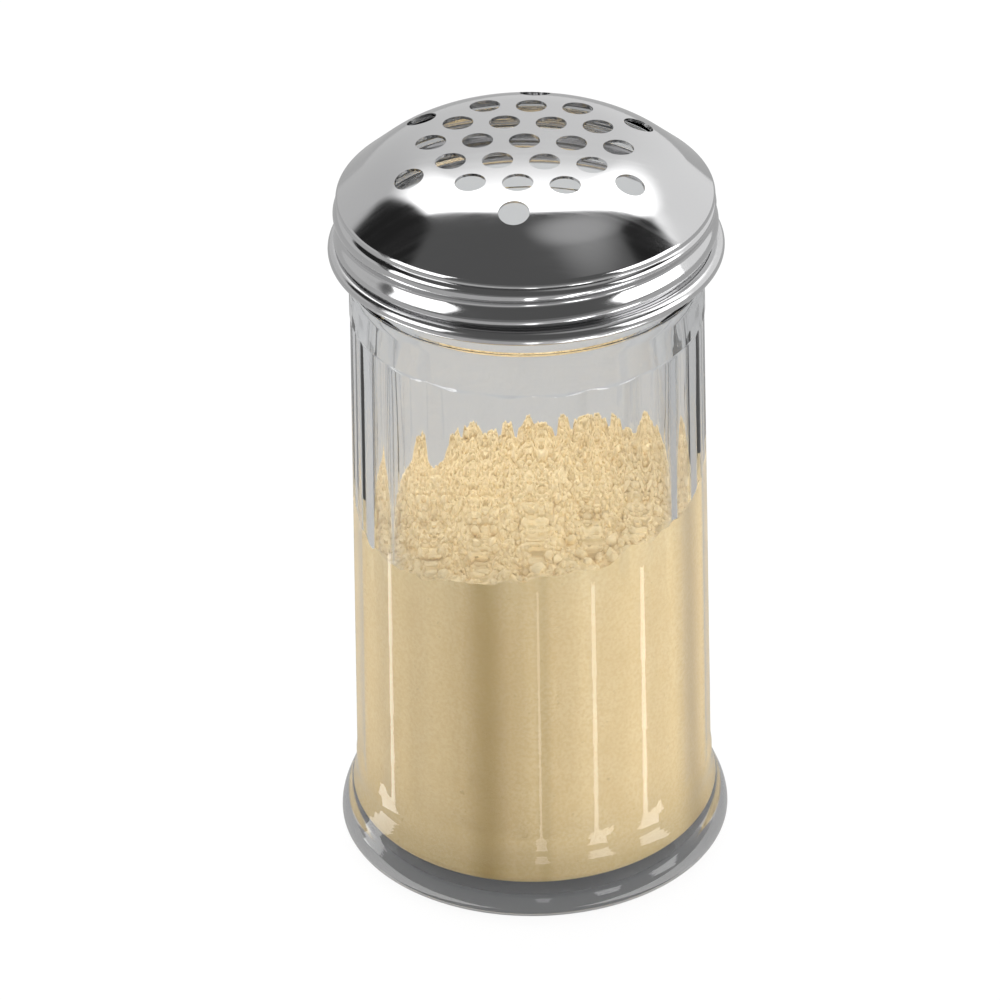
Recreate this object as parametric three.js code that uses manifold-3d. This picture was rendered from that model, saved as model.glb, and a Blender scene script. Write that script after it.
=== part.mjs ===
// A restaurant spice shaker: a pressed-glass jar with a panelled side and a heavy foot,
// a domed metal screw lid with punched holes, and the ground spice inside.
// Millimetres, +Z up. The origin is on the table, at the middle of the foot. -Y is the front.
// Outlines are lists of [radius, height] points, spun about Z. Turn angles start at the front
// and grow towards +X.

import * as THREE from "three";
import { mergeVertices } from "three/addons/utils/BufferGeometryUtils.js";
import Module from "manifold-3d";

const wasm = await Module();
wasm.setup();

// Foot of the jar
const footRadius = 36.7;
const footHeight = 13.6;
const footWidestHeight = 3.2;
const restRingOuterRadius = 32.4;
const restRingWidth = 3.6;
const pushUpRise = 1.6;
const pushUpSlopeWidth = 0.8;

// Side of the jar
const bodyBottomRadius = 33.7;
const bodyTopRadius = 32.15;
const panelCount = 20;
const panelTurnDegrees = 1.8;
const panelBottomHeight = 16.2;
const panelTopHeight = 111.2;
const panelBottomRunout = 2.8;
const panelTopRunout = 1.1;
const panelHollow = 0.22;
const bandTopHeight = 119.2;
const bandRound = 0.7;

// Inside of the jar
const wall = 3.15;
const floorThickness = 3.2;
const floorCornerRound = 2.4;
const mouthWall = 2.9;
const mouthDrawIn = 3.4;

// Neck and thread of the jar
const neckRadius = 31.4;
const neckHeight = 136.5;
const rimRound = 1.1;
const threadReach = 1.3;
const threadLead = 5.08;
const threadFade = 1.0;
const threadStartDrop = 3.3;
const threadLength = 8.2;
const frontCrestDrop = 4.0;

// Lid
const sheet = 0.55;
const seatGap = 0.3;
const threadClearance = 0.36;
const rolledDepth = 1.05;
const skirtDrop = 10.0;
const beadRadius = 1.35;
const domeOverhang = 0.45;
const domeEdgeRound = 1.2;
const domeSlopeDegrees = 41;
const domeShoulderRadius = 22;
const domeCrownRadius = 172;
const domeCrownHalfWidth = 17;

// Holes in the dome
const holeDiameter = 5.56;
const holePitch = 8.4;
const holeRowCounts = [3, 4, 5, 4, 3];
const outerHoleCount = 6;
const outerHoleRadius = 22.7;
const holeTurnDegrees = -5.2;
const holeCutterLength = 4;

// Spice
const spiceHeight = 66.8;
const spiceTiltDegrees = 8.5;
const spiceCrown = 2.4;
const spiceClearance = 0.3;
const moundHeight = 2.2;

// Mounds and hollows of the spice: how far across and back each lies and how wide it spreads,
// as shares of the inside radius, and its rise as a share of moundHeight
const moundShares = [
  { across: 0, back: 0.95, rise: -1, spread: 0.5 },
  { across: 0.93, back: 0, rise: 1.1, spread: 0.34 },
  { across: -0.93, back: 0.05, rise: 1.5, spread: 0.34 },
  { across: 0.45, back: 0.8, rise: 0.5, spread: 0.2 },
  { across: -0.44, back: 0.84, rise: 0.9, spread: 0.13 },
  { across: -0.2, back: 0.92, rise: 0.6, spread: 0.12 },
  { across: -0.66, back: 0.6, rise: -0.8, spread: 0.24 },
  { across: 0.12, back: -0.05, rise: 0.5, spread: 0.3 },
  { across: -0.36, back: -0.2, rise: 0.6, spread: 0.2 },
  { across: -0.3, back: -0.74, rise: -0.6, spread: 0.16 },
  { across: 0.36, back: -0.66, rise: -0.5, spread: 0.2 },
];

// Fineness of the curved surfaces
const stepsPerPanel = 3;
const lidSteps = 48;
const spiceSteps = 48;
const roundSteps = 3;
const longRoundSteps = 5;
const stepsPerLead = 4;
const holeSides = 12;
const spiceRings = 10;

const fullTurn = 2 * Math.PI;
const quarterTurn = Math.PI / 2;
const { clamp, degToRad, euclideanModulo, lerp, smoothstep } = THREE.MathUtils;

// Points along an arc, with angles from +r towards +z
function arc([centreRadius, centreHeight], radius, from, to, steps) {
  return Array.from({ length: steps + 1 }, (_, i) => {
    const angle = lerp(from, to, i / steps);
    return [centreRadius + radius * Math.cos(angle), centreHeight + radius * Math.sin(angle)];
  });
}

// Adds to each point of an outline the work that shapes it round the turn
function worked(points, work) {
  return points.map(([radius, height]) => [radius, height, work]);
}

// Spins an outline about Z. A point with work is moved to where the work puts it at each turn.
function spin(outline, steps) {
  const profile = outline.map(([radius, height]) => new THREE.Vector2(radius, height));
  const geometry = new THREE.LatheGeometry(profile, steps);
  const position = geometry.getAttribute("position");
  for (let i = 0; i < position.count; i++) {
    const [radius, height, work] = outline[i % outline.length];
    const turn = (Math.floor(i / outline.length) / steps) * fullTurn;
    const [reach, level] = work ? work(radius, height, turn) : [radius, height];
    position.setXYZ(i, reach * Math.sin(turn), -reach * Math.cos(turn), level);
  }
  return geometry;
}

function solidOf(geometry) {
  const bare = geometry.clone();
  bare.deleteAttribute("normal");
  bare.deleteAttribute("uv");
  const merged = mergeVertices(bare);
  return new wasm.Manifold(
    new wasm.Mesh({
      numProp: 3,
      vertProperties: merged.getAttribute("position").array,
      triVerts: new Uint32Array(merged.index.array),
    }),
  );
}

function geometryOf(solid) {
  const { vertProperties, triVerts } = solid.getMesh();
  const geometry = new THREE.BufferGeometry();
  geometry.setAttribute("position", new THREE.BufferAttribute(vertProperties, 3));
  geometry.setIndex(new THREE.BufferAttribute(triVerts, 1));
  geometry.computeVertexNormals();
  return geometry;
}

// Screw thread, shared by the glass neck and the rolled skirt: 0 at the root, 1 on the crest.
// It fades out over a short way at the top and bottom of the threaded stretch.
const frontCrestHeight = neckHeight - frontCrestDrop;

function threadShape(height, turn, top, bottom) {
  const phase = (height - frontCrestHeight) / threadLead - turn / fullTurn;
  const wave = (1 + Math.cos(fullTurn * phase)) / 2;
  const fromEnd = Math.min(top - height, height - bottom);
  return wave * clamp(fromEnd / threadFade, 0, 1);
}

// Heights of the rows that carry a thread, from one end of its stretch to the other
function threadRows(from, to) {
  const steps = Math.ceil((Math.abs(to - from) / threadLead) * stepsPerLead);
  return Array.from({ length: steps + 1 }, (_, i) => lerp(from, to, i / steps));
}

// Jar

function bodyRadiusAt(height) {
  const climbed = (height - footHeight) / (bandTopHeight - footHeight);
  return lerp(bodyBottomRadius, bodyTopRadius, climbed);
}

const innerRadiusAt = (height) => bodyRadiusAt(height) - wall;
const floorHeight = pushUpRise + floorThickness;
const mouthRadius = neckRadius - mouthWall;

function underside() {
  const ringInnerRadius = restRingOuterRadius - restRingWidth;
  return [
    [0, pushUpRise],
    [ringInnerRadius - pushUpSlopeWidth, pushUpRise],
    [ringInnerRadius, 0],
    [restRingOuterRadius, 0],
  ];
}

// The foot bulges from the resting ring to its widest, then eases in to the side above
function footSide() {
  const bulge = arc([0, 1], 1, -quarterTurn, 0, roundSteps).slice(1);
  const lower = bulge.map(([out, up]) => [
    lerp(restRingOuterRadius, footRadius, out),
    footWidestHeight * up,
  ]);
  const upper = Array.from({ length: longRoundSteps }, (_, i) => {
    const up = (i + 1) / longRoundSteps;
    return [
      lerp(footRadius, bodyBottomRadius, smoothstep(up, 0, 1)),
      lerp(footWidestHeight, footHeight, up),
    ];
  });
  return [...lower, ...upper];
}

// A panel is a flat cut between two ridges, hollowed a little and run out at both ends
function panelled(radius, height, turn) {
  const halfPanel = Math.PI / panelCount;
  const fromRidge = euclideanModulo(turn - degToRad(panelTurnDegrees), 2 * halfPanel);
  const fromMiddle = fromRidge - halfPanel;
  const flat = radius * (1 - Math.cos(halfPanel) / Math.cos(fromMiddle));
  const hollow = panelHollow * (1 - (fromMiddle / halfPanel) ** 2);
  const rise = (height - panelBottomHeight) / panelBottomRunout;
  const fall = (panelTopHeight - height) / panelTopRunout;
  const depth = (flat + hollow) * clamp(Math.min(rise, fall), 0, 1);
  return [radius - depth, height];
}

function panelSide() {
  const heights = [
    panelBottomHeight,
    panelBottomHeight + panelBottomRunout / 2,
    panelBottomHeight + panelBottomRunout,
    panelTopHeight - panelTopRunout,
    panelTopHeight,
  ];
  const rows = heights.map((height) => [bodyRadiusAt(height), height]);
  return worked(rows, panelled);
}

function shoulder() {
  const corner = [bodyTopRadius - bandRound, bandTopHeight - bandRound];
  return [...arc(corner, bandRound, 0, quarterTurn, roundSteps), [neckRadius, bandTopHeight]];
}

function neckThread() {
  const top = neckHeight - threadStartDrop;
  const bottom = top - threadLength;
  const moulded = (radius, height, turn) => [
    radius + threadReach * threadShape(height, turn, top, bottom),
    height,
  ];
  const rows = threadRows(bottom, top).map((height) => [neckRadius, height]);
  return worked(rows, moulded);
}

const rimCentre = [neckRadius - rimRound, neckHeight - rimRound];

function rim() {
  const innerCentre = [mouthRadius + rimRound, neckHeight - rimRound];
  return [
    ...arc(rimCentre, rimRound, 0, quarterTurn, roundSteps),
    ...arc(innerCentre, rimRound, quarterTurn, Math.PI, roundSteps),
  ];
}

function inside() {
  const drawInHeight = bandTopHeight - mouthDrawIn;
  const cornerHeight = floorHeight + floorCornerRound;
  const cornerRadius = innerRadiusAt(cornerHeight) - floorCornerRound;
  return [
    [mouthRadius, bandTopHeight],
    [innerRadiusAt(drawInHeight), drawInHeight],
    ...arc([cornerRadius, cornerHeight], floorCornerRound, 0, -quarterTurn, roundSteps),
    [0, floorHeight],
  ];
}

function jarGeometry() {
  const outline = [
    ...underside(),
    ...footSide(),
    ...panelSide(),
    ...shoulder(),
    ...neckThread(),
    ...rim(),
    ...inside(),
  ];
  return spin(outline, panelCount * stepsPerPanel);
}

// Lid, drawn with its hem's lowest point at height zero

const skirtInnerRadius = neckRadius + threadReach + threadClearance;
const skirtRadius = skirtInnerRadius + sheet;
const domeRadius = skirtRadius + domeOverhang;
const domeSlope = degToRad(domeSlopeDegrees);
const crownSlope = Math.asin(domeCrownHalfWidth / domeCrownRadius);
const edgeCentre = [domeRadius - domeEdgeRound, beadRadius + skirtDrop];
const beadCentre = [skirtInnerRadius + beadRadius, beadRadius];

// The sloping side is straight from the shoulder's end down to the edge round
function shoulderCentreOf([edgeRadius, edgeHeight]) {
  const radius = domeCrownHalfWidth - domeShoulderRadius * Math.sin(crownSlope);
  const inward = edgeRadius - radius;
  const tighter = domeShoulderRadius - domeEdgeRound;
  const along = (inward - tighter * Math.sin(domeSlope)) / Math.cos(domeSlope);
  const height = edgeHeight - tighter * Math.cos(domeSlope) + along * Math.sin(domeSlope);
  return [radius, height];
}

const shoulderCentre = shoulderCentreOf(edgeCentre);
const crownCentreHeight =
  shoulderCentre[1] - (domeCrownRadius - domeShoulderRadius) * Math.cos(crownSlope);

// Dome from its apex down to the turned-in edge, at a depth below the outer surface
function domeSide(depth) {
  const crown = arc(
    [0, crownCentreHeight],
    domeCrownRadius - depth,
    quarterTurn,
    quarterTurn - crownSlope,
    roundSteps,
  );
  const shoulderArc = arc(
    shoulderCentre,
    domeShoulderRadius - depth,
    quarterTurn - crownSlope,
    quarterTurn - domeSlope,
    longRoundSteps,
  );
  const edgeArc = arc(
    edgeCentre,
    domeEdgeRound - depth,
    quarterTurn - domeSlope,
    0,
    roundSteps,
  );
  return [...crown, ...shoulderArc.slice(1), ...edgeArc];
}

// The turned-in edge meets the skirt in a crease, and so does the bead at the hem
const legOf = (slanted, inward) => Math.sqrt(slanted ** 2 - (slanted - inward) ** 2);
const creaseTop = edgeCentre[1] - legOf(domeEdgeRound, domeOverhang);
const creaseBottom = beadCentre[1] + legOf(beadRadius, sheet);

// Height of the lid at rest, its slope a seat gap clear of the glass rim's round
function restHeight() {
  const normal = [Math.sin(domeSlope), Math.cos(domeSlope)];
  const rimReach = rimCentre[0] * normal[0] + rimCentre[1] * normal[1] + rimRound + seatGap;
  const slopeReach = shoulderCentre[0] * normal[0] + shoulderCentre[1] * normal[1];
  return (rimReach - slopeReach - domeShoulderRadius + sheet) / normal[1];
}

const lidHeight = restHeight();

function skirtRows(radius, from, to) {
  const top = lidHeight + creaseTop;
  const bottom = lidHeight + creaseBottom;
  const rolled = (skirt, height, turn) => [
    skirt + rolledDepth * threadShape(lidHeight + height, turn, top, bottom),
    height,
  ];
  const rows = threadRows(from, to).map((height) => [radius, height]);
  return worked(rows, rolled);
}

function lidOutline() {
  const beadEnd = Math.PI - Math.asin((creaseBottom - beadCentre[1]) / beadRadius);
  const bead = arc(beadCentre, beadRadius, -Math.PI, beadEnd, longRoundSteps + 1);
  return [
    ...domeSide(sheet),
    ...skirtRows(skirtInnerRadius, creaseTop, creaseBottom),
    ...bead.slice(0, -1),
    ...skirtRows(skirtRadius, creaseBottom, creaseTop),
    ...domeSide(0).reverse(),
  ];
}

// Centres of the holes seen from above: a six-sided field of rows, and one beyond each side.
// Neighbouring holes of the field stand at the corners of even triangles.
function holePlaces() {
  const rowStep = holePitch * Math.sin(Math.PI / 3);
  const middleRow = (holeRowCounts.length - 1) / 2;
  const field = holeRowCounts.flatMap((count, row) =>
    Array.from({ length: count }, (_, i) => [
      holePitch * (i - (count - 1) / 2),
      rowStep * (row - middleRow),
    ]),
  );
  const outer = Array.from({ length: outerHoleCount }, (_, i) => {
    const angle = (i / outerHoleCount) * fullTurn - quarterTurn;
    return [outerHoleRadius * Math.cos(angle), outerHoleRadius * Math.sin(angle)];
  });
  return [...field, ...outer];
}

// Slope and height of the dome's outer surface at a distance from its axis
function domeAt(radius) {
  if (radius < domeCrownHalfWidth) {
    const slope = Math.asin(radius / domeCrownRadius);
    return { slope, height: crownCentreHeight + domeCrownRadius * Math.cos(slope) };
  }
  const sine = (radius - shoulderCentre[0]) / domeShoulderRadius;
  const slope = Math.min(Math.asin(Math.min(sine, 1)), domeSlope);
  return { slope, height: shoulderCentre[1] + domeShoulderRadius * Math.cos(slope) };
}

// A punch stands square to the dome where its hole is
function holePunch([x, y]) {
  const radius = Math.hypot(x, y);
  const { slope, height } = domeAt(radius);
  const punchRadius = holeDiameter / 2;
  return new THREE.CylinderGeometry(punchRadius, punchRadius, holeCutterLength, holeSides)
    .rotateX(quarterTurn)
    .rotateY(slope)
    .rotateZ(Math.atan2(y, x))
    .translate(x, y, height);
}

function lidGeometry() {
  const punches = holePlaces().map((place) => holePunch(place));
  const pattern = punches.map((punch) => punch.rotateZ(degToRad(holeTurnDegrees)));
  const shell = solidOf(spin(lidOutline(), lidSteps));
  return geometryOf(pattern.reduce((left, punch) => left.subtract(solidOf(punch)), shell));
}

// Spice, heaped to one side and lumpy, a clearance inside the glass

const spiceLevel = floorHeight + spiceHeight;

// Height of the heap, at a place across and back that is a share of the inside radius
function heapHeightAt(across, back) {
  const lean = across * innerRadiusAt(spiceLevel) * Math.tan(degToRad(spiceTiltDegrees));
  const crown = spiceCrown * (1 - across ** 2 - back ** 2);
  const mounds = moundShares.map((mound) => {
    const away = Math.hypot(across - mound.across, back - mound.back) / mound.spread;
    return moundHeight * mound.rise * Math.exp(-(away ** 2));
  });
  return mounds.reduce((height, mound) => height + mound, spiceLevel + lean + crown);
}

function spiceGeometry() {
  const bottom = floorHeight + spiceClearance;
  const cornerHeight = floorHeight + floorCornerRound;
  const cornerRadius = innerRadiusAt(cornerHeight) - floorCornerRound;
  const corner = arc(
    [cornerRadius, cornerHeight],
    floorCornerRound - spiceClearance,
    -quarterTurn,
    0,
    roundSteps,
  );
  const rings = Array.from({ length: spiceRings + 1 }, (_, i) => {
    const share = 1 - i / spiceRings;
    const heaped = (radius, level, turn) => {
      const across = Math.sin(turn);
      const back = -Math.cos(turn);
      const wallRadius = innerRadiusAt(heapHeightAt(across, back)) - spiceClearance;
      return [share * wallRadius, heapHeightAt(share * across, share * back)];
    };
    return [share * (innerRadiusAt(spiceLevel) - spiceClearance), spiceLevel, heaped];
  });
  return spin([[0, bottom], ...corner, ...rings], spiceSteps);
}

// Assembly

function piece(name, geometry, material) {
  const mesh = new THREE.Mesh(geometry, new THREE.MeshStandardMaterial(material));
  mesh.name = name;
  return mesh;
}

const glassLook = { color: 0xdfe6e4, roughness: 0.05, transparent: true, opacity: 0.35 };
const steelLook = { color: 0xc9cacc, roughness: 0.22, metalness: 1 };
const spiceLook = { color: 0xdcc594, roughness: 0.95 };

const lid = piece("perforated_lid", lidGeometry(), steelLook);
lid.position.z = lidHeight;

const shaker = new THREE.Group();
shaker.add(
  piece("glass_jar", jarGeometry(), glassLook),
  piece("spice_fill", spiceGeometry(), spiceLook),
  lid,
);

export default shaker;
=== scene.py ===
"""Looks of a restaurant spice shaker: pressed-glass jar, ground spice and perforated steel lid.

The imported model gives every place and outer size. Heights are above the table, turns start at
the front of the jar and grow towards +X, and outlines are lists of (radius, height) points.
"""

import math
import random

import bmesh
import bpy
from bpy.props import FloatProperty, FloatVectorProperty, IntProperty, PointerProperty
from mathutils import Matrix, Vector, noise


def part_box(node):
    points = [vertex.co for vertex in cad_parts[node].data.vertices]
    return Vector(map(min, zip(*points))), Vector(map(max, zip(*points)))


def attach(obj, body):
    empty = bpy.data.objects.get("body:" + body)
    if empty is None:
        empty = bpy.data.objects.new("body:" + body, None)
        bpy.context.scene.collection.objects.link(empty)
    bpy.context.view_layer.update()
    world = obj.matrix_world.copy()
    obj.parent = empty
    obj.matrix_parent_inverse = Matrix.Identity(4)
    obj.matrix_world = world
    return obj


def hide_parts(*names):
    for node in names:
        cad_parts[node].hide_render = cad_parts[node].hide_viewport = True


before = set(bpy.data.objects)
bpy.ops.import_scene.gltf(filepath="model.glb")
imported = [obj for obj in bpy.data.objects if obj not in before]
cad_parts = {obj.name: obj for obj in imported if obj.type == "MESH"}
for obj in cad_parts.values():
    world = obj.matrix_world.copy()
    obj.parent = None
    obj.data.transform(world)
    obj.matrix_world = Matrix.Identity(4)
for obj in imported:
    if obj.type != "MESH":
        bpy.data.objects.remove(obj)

bl_info = {
    "name": "Spice Shaker",
    "version": (1, 0, 0),
    "blender": (4, 5, 0),
    "location": "3D View > Sidebar > Shaker",
    "description": "Builds a glass spice shaker with its perforated lid round a packed frame",
    "category": "Add Mesh",
}

MM = 0.001
SAME_ROW = 0.01 * MM     # points closer than this stand in one row
FULL_TURN = 2 * math.pi
QUARTER_TURN = math.pi / 2
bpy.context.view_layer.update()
JAR_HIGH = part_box("glass_jar")[1]
LID_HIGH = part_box("perforated_lid")[1]


def length(name, description, default):
    return FloatProperty(name=name, description=description, default=default, unit="LENGTH")


def angle(name, description, degrees):
    return FloatProperty(
        name=name, description=description, default=math.radians(degrees), unit="ROTATION"
    )


def number(name, description, default):
    return FloatProperty(name=name, description=description, default=default, min=0)


def count(name, description, default):
    return IntProperty(name=name, description=description, default=default, min=1)


def colour(name, description, default):
    return FloatVectorProperty(
        name=name, description=description, default=default, size=4, min=0, max=1,
        subtype="COLOR",
    )


class JarSizes(bpy.types.PropertyGroup):
    """Sizes and glass of the jar"""

    foot_radius: length("Foot radius", "Widest part of the foot", JAR_HIGH.x)
    foot_widest: length("Foot widest height", "Height where the foot is widest", 3.2 * MM)
    foot_height: length("Foot height", "Height where the foot meets the side", 13.6 * MM)
    ring_radius: length("Resting ring radius", "Outer edge of the ring it stands on", 32.4 * MM)
    ring_width: length("Resting ring width", "Width of the ring it stands on", 3.6 * MM)
    push_up: length("Push-up", "Rise of the glass inside the resting ring", 1.6 * MM)
    push_up_slope: length("Push-up slope", "Width of the slope up to it", 0.8 * MM)
    bottom_radius: length("Body bottom radius", "Radius of the side at the foot", 33.7 * MM)
    top_radius: length("Body top radius", "Radius of the side at the shoulder", 32.15 * MM)
    panels: count("Panels", "Upright panels round the side", 20)
    panel_turn: angle("Panel turn", "Turn of the first ridge from the front", 1.8)
    panel_bottom: length("Panel bottom", "Height where the panels start", 16.2 * MM)
    panel_top: length("Panel top", "Height where the panels end", 111.2 * MM)
    bottom_runout: length("Bottom runout", "Height of a panel's lower runout", 2.8 * MM)
    top_runout: length("Top runout", "Height of a panel's upper runout", 1.1 * MM)
    hollow: length("Panel hollow", "Depth of a panel's hollow face", 0.22 * MM)
    ridge_width: length("Ridge width", "Width of the rounded ridge between panels", 2.4 * MM)
    band_top: length("Band top", "Height of the shoulder", 119.2 * MM)
    band_round: length("Band round", "Round at the shoulder's edge", 0.45 * MM)
    wall: length("Wall", "Thickness of the side", 3.15 * MM)
    floor: length("Floor", "Thickness of the floor", 3.2 * MM)
    floor_round: length("Floor round", "Round between floor and side", 2.4 * MM)
    neck_radius: length("Neck radius", "Root of the neck's thread", 31.4 * MM)
    neck_height: length("Neck height", "Top of the rim", JAR_HIGH.z)
    mouth_wall: length("Mouth wall", "Thickness of the neck", 2.9 * MM)
    mouth_draw: length("Mouth draw-in", "Height over which the side draws in", 3.4 * MM)
    rim_round: length("Rim round", "Round of the rim", 1.1 * MM)
    thread_reach: length("Thread reach", "Height of the thread above its root", 1.3 * MM)
    thread_drop: length("Thread drop", "Rim to the start of the thread", 3.3 * MM)
    thread_length: length("Thread length", "Height of the threaded stretch", 8.2 * MM)
    thread_lead: length("Thread lead", "Climb of the thread in one turn", 5.08 * MM)
    thread_fade: length("Thread fade", "Height over which the thread runs out", 1.0 * MM)
    crest_drop: length("Crest drop", "Rim down to the thread's crest at the front", 4.0 * MM)
    tint: colour("Glass tint", "Colour of the glass face", (0.98, 0.98, 0.98, 1))
    depth_tint: colour("Depth tint", "Colour that thick glass takes on", (0.5, 0.5, 0.5, 1))
    depth_density: number("Depth density", "How fast thick glass darkens, per metre", 22.0)


class LidSizes(bpy.types.PropertyGroup):
    """Sizes and steel of the lid"""

    sheet: length("Sheet", "Thickness of the steel", 0.55 * MM)
    top: length("Top", "Height of the crown", LID_HIGH.z)
    clearance: length("Thread clearance", "Lid thread to glass thread", 0.36 * MM)
    rolled: length("Rolled depth", "Height of the rolled thread", 1.05 * MM)
    skirt_drop: length("Skirt drop", "Bead's middle to the dome's edge", 10.0 * MM)
    bead: length("Bead radius", "Radius of the curled hem", 1.35 * MM)
    overhang: length("Dome overhang", "Reach of the dome past the skirt", 0.45 * MM)
    edge_round: length("Dome edge round", "Round at the dome's edge", 1.2 * MM)
    slope: angle("Dome slope", "Slope of the dome's side", 41)
    shoulder: length("Dome shoulder radius", "Round between crown and slope", 22 * MM)
    crown: length("Dome crown radius", "Radius of the nearly flat crown", 172 * MM)
    crown_reach: length("Crown reach", "Half width of the crown", 17 * MM)
    hole: length("Hole diameter", "Width of a punched hole", 5.56 * MM)
    pitch: length("Hole pitch", "Middle to middle of two holes", 8.4 * MM)
    outer_radius: length("Outer hole radius", "Axis to the outer holes", 22.7 * MM)
    outer_holes: count("Outer holes", "Holes outside the field", 6)
    hole_turn: angle("Hole turn", "Turn of the hole pattern", -5.2)
    steel: colour("Steel", "Colour of the polished steel", (0.66, 0.66, 0.665, 1))


class SpiceSizes(bpy.types.PropertyGroup):
    """Sizes and colours of the ground spice"""

    level: length("Level", "Mean height of the heap above the floor", 66.8 * MM)
    tilt: angle("Tilt", "Slope of the heap, up towards +X", 8.5)
    crown: length("Crown", "Rise of the heap's middle", 2.4 * MM)
    contact: length("Contact", "How far the spice presses past the glass face", 0.05 * MM)
    mound: length("Mound height", "Height of the heap's mounds", 2.2 * MM)
    lump: length("Lump height", "Height of the small lumps", 1.0 * MM)
    crumb: length("Crumb radius", "Radius of a large crumb", 0.75 * MM)
    crumbs: count("Crumbs", "Crumbs on the heap", 3500)
    seed: IntProperty(name="Seed", description="Seed of the crumbs' places", default=7)
    pale: colour("Pale grain", "Lightest grains", (0.93, 0.78, 0.5, 1))
    middle: colour("Middle grain", "Most of the grains", (0.84, 0.66, 0.36, 1))
    olive: colour("Olive grain", "Darker crumbs", (0.56, 0.41, 0.19, 1))
    # The dark grain colour also paints the shade strips by the front ridges and the painted shade
    # low down
    dark: colour("Dark grain", "Specks of husk", (0.41, 0.29, 0.11, 1))
    # Colour of the painted shade strip near the jar's right edge
    shade: colour("Shade", "Dim strip near the jar's right edge", (0.3, 0.23, 0.16, 1))
    # Painted shade: grey given to the spice's underside, so that the glass floor shows it like the
    # shadowed table beneath
    painted_underside_shade: colour("Dust", "Fine dust on the glass floor", (0.75, 0.75, 0.76, 1))


class StageSettings(bpy.types.PropertyGroup):
    """Camera, floor and light"""

    focal: number("Focal length", "Focal length in millimetres", 210.4)
    sensor: number("Sensor width", "Width of the sensor in millimetres", 36.0)
    distance: length("Distance", "Camera to the point it circles", 1082.6 * MM)
    aim: length("Aim height", "Height of that point on the jar's axis", 66.0 * MM)
    elevation: angle("Elevation", "Height angle of the camera", 31.58)
    pitch: angle("Pitch", "Turn of the camera down from that point", -0.182)
    yaw: angle("Yaw", "Turn of the camera sideways from that point", -0.347)
    roll: angle("Roll", "Turn of the camera about its own line of sight", 1.096)
    soft_light: number("Soft light", "Light of the sky on dull faces", 2.9)
    roof: number("Roof", "Brightness of the sky in front, as polished faces show it", 0.11)
    wall_low: number("Low wall", "Brightness behind the shaker, low down", 0.44)
    wall_high: number("High wall", "Brightness behind the shaker, high up", 1.72)
    lamp_aim: length("Lamp aim", "Height on the jar's axis that the softboxes face", 120 * MM)
    floor_size: length("Floor size", "Width of the floor", 6.0)
    floor_colour: colour("Floor", "Colour of the floor", (0.55, 0.55, 0.55, 1))
    paper: colour("Paper", "Colour of the cloudy patches on the floor", (0.5, 0.5, 0.5, 1))
    glass_sky: colour("Sky in glass", "Sky as the glass shows it", (0.6, 0.6, 0.61, 1))
    glass_floor: colour("Floor in glass", "Floor as the glass shows it", (0.95, 0.98, 1, 1))


# Shapes shared by the pieces


def arc(centre, radius, start, end, steps):
    """Points along an arc, with angles from +radius towards +height"""
    points = []
    for i in range(steps + 1):
        turned = start + (end - start) * i / steps
        points.append(
            (centre[0] + radius * math.cos(turned), centre[1] + radius * math.sin(turned))
        )
    return points


def between(start, end, steps):
    """Even points from start up to, but not including, end"""
    return [
        tuple(a + (b - a) * i / steps for a, b in zip(start, end)) for i in range(steps)
    ]


def smooth(share_along):
    t = min(max(share_along, 0.0), 1.0)
    return t * t * (3 - 2 * t)


def turn_of(point):
    return math.atan2(point[0], -point[1])


def deselect():
    bpy.ops.object.select_all(action="DESELECT")


def activate(piece):
    deselect()
    piece.select_set(True)
    bpy.context.view_layer.objects.active = piece


def spun(name, outline, columns, first_turn=0.0):
    """A skin lathed from an outline: one point, extruded along the outline, spun about Z"""
    deselect()
    radius, height = outline[0]
    side = Vector((math.sin(first_turn), -math.cos(first_turn), 0))
    bpy.ops.mesh.primitive_plane_add(size=MM, location=side * radius + Vector((0, 0, height)))
    piece = bpy.context.object
    piece.name = piece.data.name = name
    bpy.ops.object.transform_apply(location=True)
    bpy.ops.object.mode_set(mode="EDIT")
    bpy.ops.mesh.select_all(action="SELECT")
    bpy.ops.mesh.merge(type="CENTER")
    for here, there in zip(outline, outline[1:]):
        step = side * (there[0] - here[0]) + Vector((0, 0, there[1] - here[1]))
        bpy.ops.mesh.extrude_region_move(TRANSFORM_OT_translate={"value": step})
    bpy.ops.mesh.select_all(action="SELECT")
    bpy.ops.mesh.spin(steps=columns, angle=FULL_TURN, center=(0, 0, 0), axis=(0, 0, 1))
    bpy.ops.mesh.select_all(action="SELECT")
    bpy.ops.mesh.remove_doubles(threshold=0.001 * MM)
    bpy.ops.mesh.normals_make_consistent(inside=False)
    bpy.ops.object.mode_set(mode="OBJECT")
    return piece


def select_points(piece, points):
    """Selects only these points, in edit mode"""
    bpy.ops.mesh.select_all(action="DESELECT")
    mesh = bmesh.from_edit_mesh(piece.data)
    mesh.verts.ensure_lookup_table()
    for i in points:
        mesh.verts[i].select = True
    bmesh.update_edit_mesh(piece.data)


def scale_points(piece, points, factor):
    """Draws points in towards the axis"""
    select_points(piece, points)
    bpy.ops.transform.resize(value=(factor, factor, 1), center_override=(0, 0, 0))


def turn_points(piece, points, turned):
    """Turns points about the axis. The operator turns the other way round."""
    select_points(piece, points)
    bpy.ops.transform.rotate(
        value=-turned, orient_axis="Z", center_override=(0, 0, 0), orient_type="GLOBAL"
    )


def apply_modifiers(piece):
    activate(piece)
    for modifier in list(piece.modifiers):
        bpy.ops.object.modifier_apply(modifier=modifier.name)


def smooth_by_angle(piece, degrees):
    activate(piece)
    bpy.ops.object.shade_smooth_by_angle(angle=math.radians(degrees))


def dress(piece, material, body, node):
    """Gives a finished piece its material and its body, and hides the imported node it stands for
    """
    piece.data.materials.clear()
    piece.data.materials.append(material)
    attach(piece, body)
    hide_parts(node)


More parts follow.
